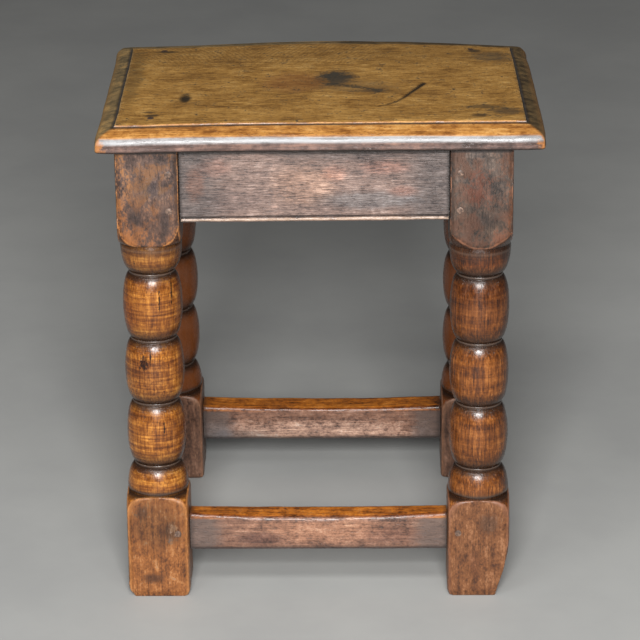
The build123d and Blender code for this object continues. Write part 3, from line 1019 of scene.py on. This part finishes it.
# Marks on the seat: place and half size in millimetres, shade, how strong, how ragged.
SEAT_MARKS = (
    ((14, 14.5), (19, 24), (26, 27, 24), 0.95, 1.5),
    ((-137, -51), (6.2, 13.5), (10, 9, 7), 0.95, 0.9),
    ((52, -30), (22, 4.5), (50, 40, 26), 0.6, 2.0),
    ((34, -14), (40, 22), (110, 66, 30), 0.5, 2.0),
    ((-167, -103), (7, 4), (25, 16, 10), 0.8, 1.2),
    ((-170, -93), (6, 3), (25, 16, 10), 0.8, 1.2),
    ((-165, 110), (13, 4.5), (25, 18, 10), 0.8, 1.0),
    ((160, 108), (8, 6), (20, 16, 12), 0.8, 1.0),
    ((158, -112), (8, 7), (25, 18, 12), 0.8, 1.2),
    ((166, -82), (20, 7), (40, 28, 16), 0.7, 2.0),
    ((184, -98), (20, 13), (40, 28, 18), 0.7, 2.2),
    ((180, 86), (22, 20), (35, 34, 28), 0.6, 2.2),
    ((-195, 20), (10, 90), (80, 50, 18), 0.5, 2.0),
)


def seat_finish():
    start_oak("seat_oak")
    flat, below = layer("flat"), reckon("SUBTRACT", SEAT_TOP, layer("height"))
    figure = noise(oak.grain, (9, 60, 40), (1, 2, 3), 3.0, 0.6, 2.2)
    oak.hair = noise(oak.grain, (60, 560, 40), (8, 2, 3), 3.0, 0.75, 0.8)
    across, along = node("SeparateXYZ", {"Vector": oak.grain}).outputs[:2]
    aside = reckon("ABSOLUTE", plus(across, 0.075))
    slant = blend((aside, 1150), (along, -620), patch=22, mottle=9, speck=2)
    ripple = reckon("SINE", slant)
    tone = blend((figure, 0.13), hair=0.36, speck=0.16, mottle=0.15, patch=0.2)
    field = ramp(tone, 0.42, 0.6, (130, 60, 14), (280, 140, 32), (400, 215, 56), (560, 340, 115))
    field = stain(field, oak.dark_fleck, (100, 48, 13), 0.45)
    ripples = times(band(ripple, -0.4, 1.0, 0.0, 0.38), band(along, 0.045, 0.075))
    field = stain(field, times(ripples, band(across, 0.09, 0.03)), (120, 58, 16))
    far = band(along, 0.03, 0.11)
    field = stain(field, band(far, 0.0, 1.0, 0.0, 0.22), (140, 75, 22))
    field = stain(field, oak.pores, (50, 24, 8), 0.55)
    red = blend(spot(oak.grain, (-0.027, -0.001, SEAT_TOP), (0.06, 0.055, 1), 0.9), mottle=0.8)
    field = stain(field, band(red, 0.6, 1.2, 0.0, 0.5), (170, 62, 20))
    centred = plus(blend(mottle=0.6, speck=0.4), -0.5)
    for centre, size, shade, amount, ragged in SEAT_MARKS:
        centre, size = (Vector(pair) / 1000 for pair in (centre, size))
        mask = spot(oak.grain, (*centre, SEAT_TOP), (*size * 1.8, 1), 0.9)
        mask = band(blend(mask, (centred, 1.8 * ragged)), 0.15, 0.95, 0.0, amount)
        field = stain(field, mask, shade)
    streak = band(blend(layer("streak"), (centred, 5.0)), 0.45, 0.95, 0.0, 0.8)
    field = stain(field, streak, (40, 32, 22))
    field = stain(field, layer("gouge"), (12, 9, 7), 0.96)

    tone = blend(streak=0.3, mottle=0.35, fibre=0.2, patch=0.15)
    slope = ramp(tone, 0.41, 0.6, (150, 52, 12), (370, 150, 32), (550, 250, 58), (700, 380, 120))
    slope = stain(slope, oak.dark_fleck, (170, 55, 14), 0.6)
    slope = stain(slope, oak.pores, (90, 32, 10), 0.4)
    # The nose is darker and redder than the slope: partly its own colour, partly painted shade on its
    # lower face, which turns down from the light.
    nose = ramp(tone, 0.42, 0.6, (40, 26, 22), (105, 60, 48), (230, 125, 90))
    slope = mix(band(below, 0.005, 0.0066), slope, nose)
    above_widest = band(below, 0.013, 0.009)
    # Painted sheen: a pale grey laid in blotches over the upper nose, where it widens the highlight.
    blotches = blend(streak=0.5, mottle=0.5)
    bare_and_sheen = times(times(band(below, 0.0049, 0.0059), above_widest), band(blotches, 0.4, 0.58, 0.5, 0.95))
    slope = stain(slope, bare_and_sheen, (335, 340, 345))
    tip = band(blend(reckon("ABSOLUTE", across), mottle=0.04), 0.2315, 0.2395, 0.0, 0.85)
    slope = stain(slope, tip, (360, 135, 30))
    # The end mouldings are darker than the front one: end grain, and painted shade, as they face aside
    # from the light; the right end is painted darker than the left.
    dusk = blend(mottle=0.6, patch=0.4)
    left_end_shaded = ramp(dusk, 0.4, 0.62, (85, 70, 38), (170, 122, 56), (300, 190, 70))
    right_end_shaded = ramp(dusk, 0.4, 0.62, (22, 20, 12), (54, 43, 21), (110, 72, 30))
    ridge = times(band(below, 0.0045, 0.0062), above_widest)
    left_end_shaded = stain(left_end_shaded, ridge, (300, 165, 48), 0.6)
    right_end_shaded = stain(right_end_shaded, ridge, (200, 100, 30), 0.6)
    end = mix(band(across, -0.05, 0.05), left_end_shaded, right_end_shaded)
    slope = mix(times(reckon("SUBTRACT", 1.0, layer("front")), 0.92), slope, end)
    wood = mix(flat, slope, field)
    wood = stain(wood, worn_edge(1.22, 1.48, 0.4, mottle=0.8), (480, 290, 120))
    # Dirt in the quirk, and painted shade under the nose.
    wood = stain(wood, layer("grime_and_shade"), (12, 8, 6), 0.95)
    rough = mix(flat, band(blotches, 0.43, 0.59, 0.3, 0.58), gloss(0.36, 0.5))
    rough = plus(rough, times(layer("worn"), 0.1))
    rough = plus(rough, band(layer("grime_and_shade"), 0.5, 1.0, 0.0, 0.5))
    return close(wood, rough, 0.00014, hair=0.8)


# Patches on the rails that show: place and half size in millimetres, tones.
RAIL_MARKS = {
    "front_apron": (
        ((-10, 444), (55, 34), (1.36, 1.24, 1.1)),
        ((-100, 462), (28, 16), (1.32, 1.1, 1.02)),
        ((-118, 445), (16, 28), (1.3, 0.95, 0.8)),
        ((70, 462), (40, 12), (1.3, 1.08, 1.02)),
        ((88, 437), (24, 10), (1.3, 1.08, 1.02)),
        ((20, 456), (20, 14), (1.22, 1.04, 0.97)),
        ((55, 428), (85, 16), (0.72, 0.88, 1.0)),
        ((-85, 428), (50, 18), (0.8, 0.8, 0.82)),
        ((30, 474), (100, 8), (0.7, 0.75, 0.8)),
    ),
    "back_stretcher": (
        # The next pale patch is a painted sheen on the back stretcher's face.
        ((15, 50), (200, 28), (1.9, 2.3, 2.6)),
        ((95, 48), (60, 14), (0.55, 0.6, 0.65)),
    ),
    "front_stretcher": (
        ((0, 66), (110, 26), (1.35, 1.3, 1.2)),
        ((-60, 56), (40, 12), (0.62, 0.6, 0.66)),
        ((75, 60), (50, 14), (0.8, 0.76, 0.78)),
    ),
}


def tint_rail(wood, rail, start, end, **ragged):
    marks = []
    for (across, up), (wide, high), tones in RAIL_MARKS[rail]:
        centre = (RAIL_SEED[rail] + across / 1000, 0, up / 1000)
        marks.append((centre, (wide / 1000, 1, high / 1000), tones))
    return tint_spots(wood, marks, 0.95, start, end, mottle=0.9, **ragged)


def apron_finish():
    start_oak("apron_oak")
    oak.line = noise(oak.grain, (60, 900, 900), (4, 2, 1), 3.0, 0.75)
    tone = blend(line=0.4, streak=0.12, speck=0.12, mottle=0.18, patch=0.18)
    wood = ramp(tone, 0.41, 0.6, (42, 29, 26), (125, 82, 68), (215, 140, 112), (380, 275, 235))
    wood = tint_rail(wood, "front_apron", 0.8, 1.55, line=0.5)
    dull = blend(layer("ends"), mottle=0.5, patch=0.5)
    wood = tint(wood, band(dull, 0.6, 1.4), (0.52, 0.6, 0.66))
    wood = stain(wood, oak.dark_fleck, (60, 42, 36), 0.4)
    wood = stain(wood, oak.pores, (35, 24, 20), 0.45)
    # Dark in the bead's groove and beside the legs, and the painted shadow under the seat.
    wood = stain(wood, layer("grime_and_shade"), (18, 12, 10), 0.85)
    # The bead is painted paler: wear, and partly a painted highlight along the bead.
    wood = stain(wood, worn_edge(1.2, 1.42, 0.7, mottle=0.8), (460, 320, 230))
    rough = mix(layer("worn"), gloss(0.36, 0.52), gloss(0.25, 0.33))
    return close(wood, rough, 0.0003, line=0.8)


def stretcher_finish():
    start_oak("stretcher_oak")
    tone = blend(streak=0.2, mottle=0.28, patch=0.16, fibre=0.16, speck=0.2)
    wood = ramp(tone, 0.41, 0.6, (50, 26, 19), (150, 72, 46), (260, 130, 82), (400, 240, 165))
    dull = blend(layer("ends"), mottle=0.8)
    wood = stain(wood, band(dull, 0.62, 1.15, 0.0, 0.8), (100, 74, 64))
    tread = ramp(tone, 0.42, 0.6, (60, 17, 4), (260, 74, 9), (460, 145, 14), (620, 240, 50))
    # Painted shade: the tread is darkened along both its edges.
    tread = tint(tread, band(layer("worn"), 0.1, 0.9), (0.45, 0.38, 0.4))
    for rail in ("back_stretcher", "front_stretcher"):
        wood = tint_rail(wood, rail, 0.75, 1.55, speck=0.5)
    wood = mix(layer("top"), wood, tread)
    wood = stain(wood, oak.dark_fleck, (45, 26, 18), 0.45)
    wood = stain(wood, oak.pores, (30, 18, 13), 0.4)
    # Dark beside the legs, and painted shade along the bottom edge.
    wood = stain(wood, layer("grime_and_shade"), (20, 14, 12), 0.9)
    wood = stain(wood, worn_edge(1.46, 1.62, 0.35, mottle=0.9), (520, 340, 220))
    rough = mix(layer("worn"), gloss(0.36, 0.5), gloss(0.31, 0.42))
    return close(wood, rough, 0.00026)


def peg_finish():
    start_oak("peg_oak")
    tone = blend(speck=0.5, mottle=0.5)
    wood = ramp(tone, 0.38, 0.62, (48, 30, 22), (115, 68, 48), (260, 165, 115))
    wood = stain(wood, layer("grime_and_shade"), (20, 12, 9), 0.9)
    return close(wood, gloss(0.36, 0.52), 0.0002)


def dress(piece, solid, slot, finishes):
    """Says which body a piece rides on, hides the solid it stands for, and gives it its finish."""
    piece.data.materials.clear()
    piece.data.materials.append(finishes[slot])
    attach(piece, "root")
    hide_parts(solid)


# Marks and cracks of the front legs: up, across and out in millimetres, half sizes, tones.
LEFT_MARKS = (
    ((72, 15, -32), (23, 19, 30), (0.5, 0.55, 0.75)),
    # The next mark paints pale bluish glints on the knot of the foot: a painted highlight.
    ((76, 17, -32), (11, 10, 30), (2.0, 2.7, 4.0)),
    ((94, -16, -32), (14, 13, 30), (0.55, 0.6, 0.8)),
    ((20, -6, -32), (10, 20, 30), (0.4, 0.42, 0.6)),
    ((80, 0, -32), (50, 50, 30), (0.68, 0.72, 0.8)),
    ((412, -12, -32), (15, 10, 30), (0.55, 0.6, 0.72)),
    ((408, 17, -32), (30, 10, 30), (0.5, 0.58, 0.74)),
    ((440, 6, -32), (20, 22, 30), (0.8, 0.92, 1.1)),
)
LEFT_CRACKS = (
    ((321, 8.8, -28.5), (26, 1.6, 20), (0.1, 0.08, 0.1)),
    ((330, 20.6, -21.5), (26, 1.6, 20), (0.1, 0.08, 0.1)),
    ((264, -2, -29), (18, 1.6, 20), (0.1, 0.08, 0.1)),
    ((256, -9, -28), (16, 9.5, 20), (0.16, 0.13, 0.16)),
    ((185, 10, -28), (16, 1.6, 20), (0.1, 0.08, 0.1)),
    ((243, -6, -28), (50, 50, 60), (0.66, 0.64, 0.8)),
    ((300, -24, -16), (60, 16, 40), (0.8, 0.66, 0.5)),
)
RIGHT_MARKS = (
    ((80, 10, -32), (22, 18, 30), (0.55, 0.62, 0.8)),
    ((35, -4, -32), (30, 10, 30), (0.8, 0.75, 0.75)),
    ((440, -2, -32), (36, 24, 30), (1.15, 0.78, 0.66)),
    ((478, -6, -32), (16, 20, 30), (1.3, 1.4, 1.5)),
    ((408, 6, -32), (14, 22, 30), (0.7, 0.68, 0.7)),
)
RIGHT_CRACKS = (((362, 0, -28), (16, 50, 60), (1.6, 1.5, 1.3)),)


# Each leg's shade is the colour of the painted shade on the far sides of its turning.
def leg_finishes():
    left = leg_finish(
        "left_leg_oak",
        seed=1,
        turned=((75, 21, 4), (175, 52, 8), (340, 122, 18), (600, 260, 50)),
        shade=(65, 15, 3),
        block=((22, 14, 12), (64, 37, 29), (105, 60, 44), (200, 115, 76)),
        rub=(290, 118, 34),
        foot=((65, 21, 7), (160, 53, 13), (260, 90, 21), (400, 180, 65)),
        ringed=0.33,
        dim_top=0.15,
        marks=LEFT_MARKS,
        cracks=LEFT_CRACKS,
    )
    right = leg_finish(
        "right_leg_oak",
        seed=2,
        turned=((40, 12, 4), (105, 30, 6), (200, 62, 11), (340, 125, 30)),
        shade=(26, 9, 5),
        block=((21, 16, 14), (55, 39, 31), (90, 63, 48), (170, 126, 100)),
        rub=(150, 62, 32),
        foot=((52, 18, 8), (122, 43, 14), (185, 69, 23), (300, 135, 60)),
        ringed=0.16,
        dim_top=0.75,
        marks=RIGHT_MARKS,
        cracks=RIGHT_CRACKS,
    )
    back = leg_finish(
        "back_leg_oak",
        seed=3,
        turned=((35, 12, 5), (80, 25, 8), (150, 50, 14), (240, 95, 30)),
        shade=(150, 42, 9),
        block=((36, 25, 20), (70, 45, 35), (120, 75, 55), (200, 125, 95)),
        rub=(180, 85, 45),
        foot=((45, 22, 14), (100, 48, 30), (165, 80, 48), (260, 140, 90)),
        ringed=0.2,
        dim_top=0.0,
    )
    return {"left_leg_oak": left, "right_leg_oak": right, "back_leg_oak": back}


def make_stool():
    finishes = {"seat_oak": seat_finish()}
    finishes |= leg_finishes()
    finishes |= {"apron_oak": apron_finish(), "stretcher_oak": stretcher_finish()}
    finishes["peg_oak"] = peg_finish()
    dress(seat(), "seat_top", "seat_oak", finishes)
    dress(top_pegs(), "seat_pegs", "peg_oak", finishes)
    turning = draw("turning", [(radius, 0, height) for radius, height in turning_line()])
    turn(144)
    finish_edit()
    settle(turning)
    for (end, side), (*_, slot) in LEGS.items():
        dress(leg(end, side, turning), f"{end}_{side}_leg", slot, finishes)
    bpy.data.objects.remove(turning)
    for side in (*ENDS, *SIDES):
        dress(apron(side), f"{side}_apron", "apron_oak", finishes)
        dress(stretcher(side), f"{side}_stretcher", "stretcher_oak", finishes)
        for rail, heights in (("apron", APRON_PEGS), ("stretcher", STRETCHER_PEGS)):
            dress(rail_pegs(side, rail, heights), f"{side}_{rail}_pegs", "peg_oak", finishes)


# --- Room -------------------------------------------------------------
def area_light(name, place, target, size, power):
    light = bpy.data.objects.new(name, bpy.data.lights.new(name, "AREA"))
    light.data.shape = "RECTANGLE"
    light.data.size, light.data.size_y = size
    light.data.energy = power
    light.location = place
    light.rotation_euler = (Vector(target) - Vector(place)).to_track_quat("-Z", "Y").to_euler()
    bpy.context.scene.collection.objects.link(light)


def room():
    deselect()
    ops.primitive_plane_add(size=16, location=(0, 2, 0))
    floor = bpy.context.object
    floor.name = floor.data.name = "floor"
    settle(floor)
    floor.data.materials.append(start_finish("pale_floor"))
    speckle = noise(node("TexCoord").outputs["Object"], (4, 4, 4), (0, 0, 0), 5.0, 0.6)
    shader = tree.nodes["Principled BSDF"]
    pale = mix(band(speckle, 0.3, 0.7), colour(330, 330, 320), colour(370, 370, 355))
    feed(shader.inputs["Base Color"], pale)
    feed(shader.inputs["Roughness"], 0.7)
    area_light("near_camera", (0.03, -2.85, 1.75), (0, 0, 0.28), (1.15, 0.95), 158)
    area_light("overhead", (-0.2, -1.45, 2.45), (0, 0, 0.4), (2.4, 0.6), 30)
    area_light("left_fill", (-2.4, -1.6, 1.3), (0, 0, 0.3), (1.4, 1.8), 4)
    area_light("right_fill", (2.4, -1.4, 1.2), (0, 0, 0.3), (1.4, 1.8), 2)
    world = bpy.data.worlds.new("soft_room")
    world.use_nodes = True
    world.node_tree.nodes["Background"].inputs["Color"].default_value = (1, 1, 1, 1)
    world.node_tree.nodes["Background"].inputs["Strength"].default_value = 0.04
    bpy.context.scene.world = world
    bpy.context.scene.view_settings.view_transform = "Standard"


make_stool()
room()
